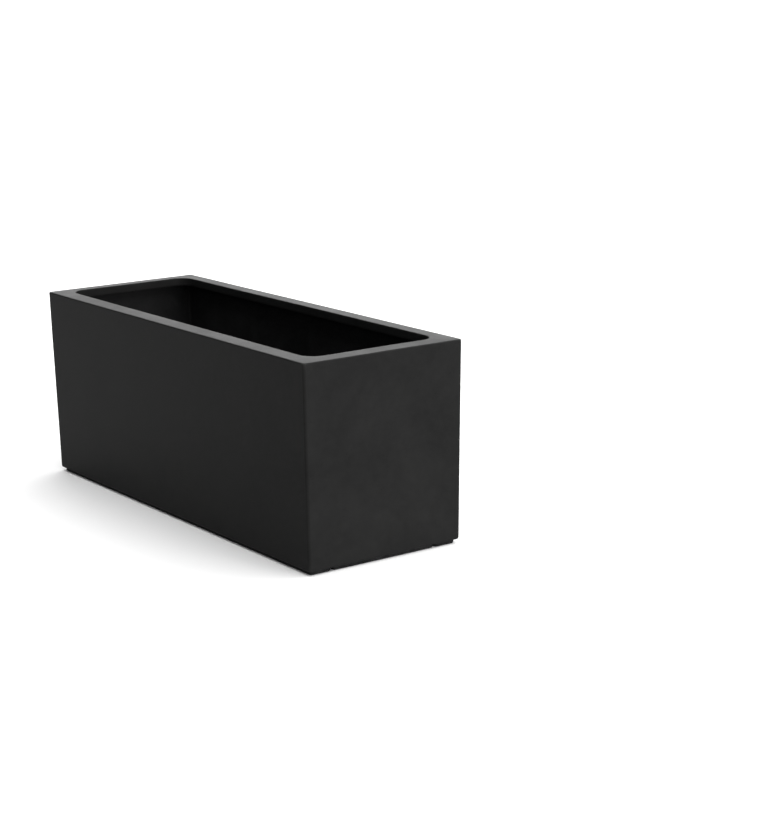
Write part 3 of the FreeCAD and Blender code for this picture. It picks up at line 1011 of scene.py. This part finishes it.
# %% Inserts and screws
KNURLS = 24
KNURL_DEPTH = 0.2 * MM
KNURLED_RADIUS = 3.5 * MM
THREAD_PITCH = 0.8 * MM
THREAD_DEPTH = 0.35 * MM
SOCKET_FLATS = 3 * MM
SOCKET_DEPTH = 1.8 * MM
SCREW_STEPS = 48


def insert_outline(node):
    """A closed outline: a plain tube, with a seam in its bore."""
    low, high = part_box(node)
    bore, reach, seam = 2.6 * MM, 4 * MM, 3 * MM
    lower_half = [(bore, low[2] + seam), (bore, low[2]), (reach, low[2])]
    return lower_half + [(reach, high[2]), (bore, high[2]), (bore, high[2] - seam)]


def knurled(angle, radius, z):
    """Straight knurling on the outside of an insert."""
    return radius - (groove(angle, KNURLS, KNURL_DEPTH) if radius > KNURLED_RADIUS else 0)


def screw_outline(node):
    """From the socket's rim: a button head, the threads and a blunt tip."""
    low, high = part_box(node)
    head, shank = 4.75 * MM, 2.4 * MM
    socket_rim, head_face, head_side, head_tall = 2.0 * MM, 3.0 * MM, 0.8 * MM, 2.75 * MM
    tip, tip_chamfer, tip_clear = 0.4 * MM, 0.3 * MM, 1.5 * MM
    under = low[2] + head_tall
    outline = [(socket_rim, low[2]), (head_face, low[2])]
    outline += [(head, under - head_side), (head, under), (shank, under)]
    turns = int((high[2] - under - tip_clear) / THREAD_PITCH)
    for k in range(turns):
        z = under + THREAD_PITCH + k * THREAD_PITCH
        outline += [(shank, z), (shank - THREAD_DEPTH, z + THREAD_PITCH / 2)]
    outline += [(shank - tip_chamfer, high[2]), (tip, high[2])]
    return outline


def spun_screw(name, node):
    """A screw, with a hexagon socket sunk in its head."""
    centre = centre_of(node)
    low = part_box(node)[0][2]
    mesh = bmesh.new()

    def hexagon(angle):
        return SOCKET_FLATS / 2 / math.cos((angle % (math.pi / 3)) - math.pi / 6)

    outline = soften(screw_outline(node), 0.25 * MM)
    rings = [circle_ring(centre, radius, z, SCREW_STEPS) for radius, z in outline]
    first = new_ring(mesh, rings[0])
    tip = skin(mesh, rings[1:], first=first)
    mesh.faces.new(tip)
    socket = [circle_ring(centre, hexagon, z, SCREW_STEPS) for z in (low, low + SOCKET_DEPTH)]
    mesh.faces.new(skin(mesh, socket, first=first))
    finish_piece(mesh, name, node, "planter", [stainless], sharp=40)


for name in SCREWS:
    insert, screw = "rail_insert_" + name, "rail_screw_" + name
    outline = insert_outline(insert)
    spun("nut_" + name, insert, "planter", brass, outline, 0.2 * MM, knurled, close=True, count=96)
    spun_screw("screw_" + name, screw)

# %% [markdown]
# ### Bars under the rim
# Four flat steel bars are bonded up under the rim. They keep a long thin wall straight when the box
# is full of wet soil. Rolled bar has soft edges and sawn ends, so each is a rounded section swept
# along its length.

# %% Rim bars
BAR_ROUND = 1 * MM
BAR_STEPS = 40
BAR_END = 0.93  # how much of the section is left at a sawn end
BAR_LUMP = 0.05  # in millimetres
BAR_SCALE = 40


def swept_bar(name, node):
    """A flat bar with rolled edges, along the longer side of its CAD node."""
    low, high = (Vector(corner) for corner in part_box(node))
    along = 0 if high.x - low.x > high.y - low.y else 1
    across = 1 - along
    middle = (low + high) / 2
    width, thick = (high - low)[across], (high - low)[2]
    section = rectangle_ring(width / 2, thick / 2, BAR_ROUND, 0, steps_x=3, steps_y=2, corner_steps=3)
    mesh = bmesh.new()
    rings = []
    for step in range(BAR_STEPS + 1):
        at = low[along] + (high[along] - low[along]) * step / BAR_STEPS
        shrink = BAR_END if step in (0, BAR_STEPS) else 1.0
        ring = []
        for point in section:
            spot = Vector((0, 0, middle.z + point.y * shrink))
            spot[along] = at
            spot[across] = middle[across] + point.x * shrink
            ring.append(spot + noise.noise_vector(spot * BAR_SCALE) * BAR_LUMP * MM)
        rings.append(ring)
    first = new_ring(mesh, rings[0])
    last = skin(mesh, rings[1:], first=first)
    mesh.faces.new(first)
    mesh.faces.new(last)
    finish_piece(mesh, name, node, "planter", [galvanised])


for side in EDGES:
    swept_bar("stiffener_" + side, "rim_bar_" + side)

# %% [markdown]
# ## Floor and light
# A product shot on white needs a floor with no horizon and very soft light. The floor is one wide
# pale sheet, lighter to the camera than to bounced light, so that it stays white without washing out
# the walls. The key is a sun with a very wide disc, almost overhead. A large light behind the box
# grazes the rim, and a smaller one low on the right fills the end wall. The world is white where the
# camera sees it. To every other ray it is dimmer, and dimmest towards the front left, which helps to
# keep the long wall darker than the end wall.

# %% Studio
FLOOR_SIZE = 160.0
FLOOR_CELLS = 40
FLOOR_SEEN = 0.97
FLOOR_BOUNCED = 0.55
FLOOR_DROP = 0.2 * MM
SUN_FROM = (0.25, 0.2, 1.0)
SUN_DISC = 90
SUN_POWER = 3.3
DIM_SIDE = (-0.8, -0.6, 0.0)


def studio_floor():
    """A wide pale sheet, with one tone for the camera and another for bounced light."""
    mesh = bmesh.new()
    bmesh.ops.create_grid(mesh, x_segments=FLOOR_CELLS, y_segments=FLOOR_CELLS, size=FLOOR_SIZE / 2)
    data = bpy.data.meshes.new("studio_floor")
    mesh.to_mesh(data)
    mesh.free()
    sheet = bpy.data.objects.new("studio_floor", data)
    bpy.context.collection.objects.link(sheet)
    sheet.location.z = -FLOOR_DROP
    paint = bpy.data.materials.new("studio_white")
    paint.use_nodes = True
    tree = paint.node_tree
    tones = [(tone, tone, tone, 1) for tone in (FLOOR_SEEN, FLOOR_BOUNCED)]
    seen, bounced = (add(tree, "ShaderNodeBsdfDiffuse", color=tone) for tone in tones)
    ray = tree.nodes.new("ShaderNodeLightPath")
    either = tree.nodes.new("ShaderNodeMixShader")
    wire(
        tree,
        (ray.outputs["Is Camera Ray"], either.inputs[0]),
        (bounced.outputs[0], either.inputs[1]),
        (seen.outputs[0], either.inputs[2]),
        (either.outputs[0], tree.nodes["Material Output"].inputs["Surface"]),
    )
    data.materials.append(paint)


def soft_light(name, place, target, width, depth, power):
    """A flat rectangular lamp at a place, turned to face a target."""
    data = bpy.data.lights.new(name, "AREA")
    data.shape = "RECTANGLE"
    data.size, data.size_y, data.energy = width, depth, power
    lamp = bpy.data.objects.new(name, data)
    bpy.context.collection.objects.link(lamp)
    lamp.location = place
    lamp.visible_camera = False
    lamp.rotation_euler = (Vector(target) - Vector(place)).to_track_quat("-Z", "Y").to_euler()


studio_floor()
sun_data = bpy.data.lights.new("soft_key", "SUN")
sun_data.energy = SUN_POWER
sun_data.angle = math.radians(SUN_DISC)
sun = bpy.data.objects.new("soft_key", sun_data)
bpy.context.collection.objects.link(sun)
sun.rotation_euler = Vector(SUN_FROM).to_track_quat("Z", "Y").to_euler()
soft_light("rim_light", (-2.6, 1.9, 1.35), (0, 0, 0.25), width=3.2, depth=1.3, power=44)
soft_light("right_fill", (3.2, 0.4, 0.5), (0, 0, 0.15), width=1.6, depth=0.8, power=44)

world = bpy.data.worlds.new("studio_world")
bpy.context.scene.world = world
world.use_nodes = True
background = world.node_tree.nodes["Background"]
background.inputs["Color"].default_value = (1.0, 1.0, 1.0, 1)
tree = world.node_tree
ray = tree.nodes.new("ShaderNodeLightPath")
sky = tree.nodes.new("ShaderNodeTexCoord")
towards = tree.nodes.new("ShaderNodeVectorMath")
towards.operation = "DOT_PRODUCT"
towards.inputs[1].default_value = DIM_SIDE
wire(tree, (sky.outputs["Generated"], towards.inputs[0]))
shaded = remap(tree, towards.outputs["Value"], low=-0.3, high=0.8, out_low=0.55, out_high=0.08)
seen = math_node(tree, "MAXIMUM", shaded, ray.outputs["Is Camera Ray"])
wire(tree, (seen, background.inputs["Strength"]))
bpy.context.scene.view_settings.view_transform = "Standard"
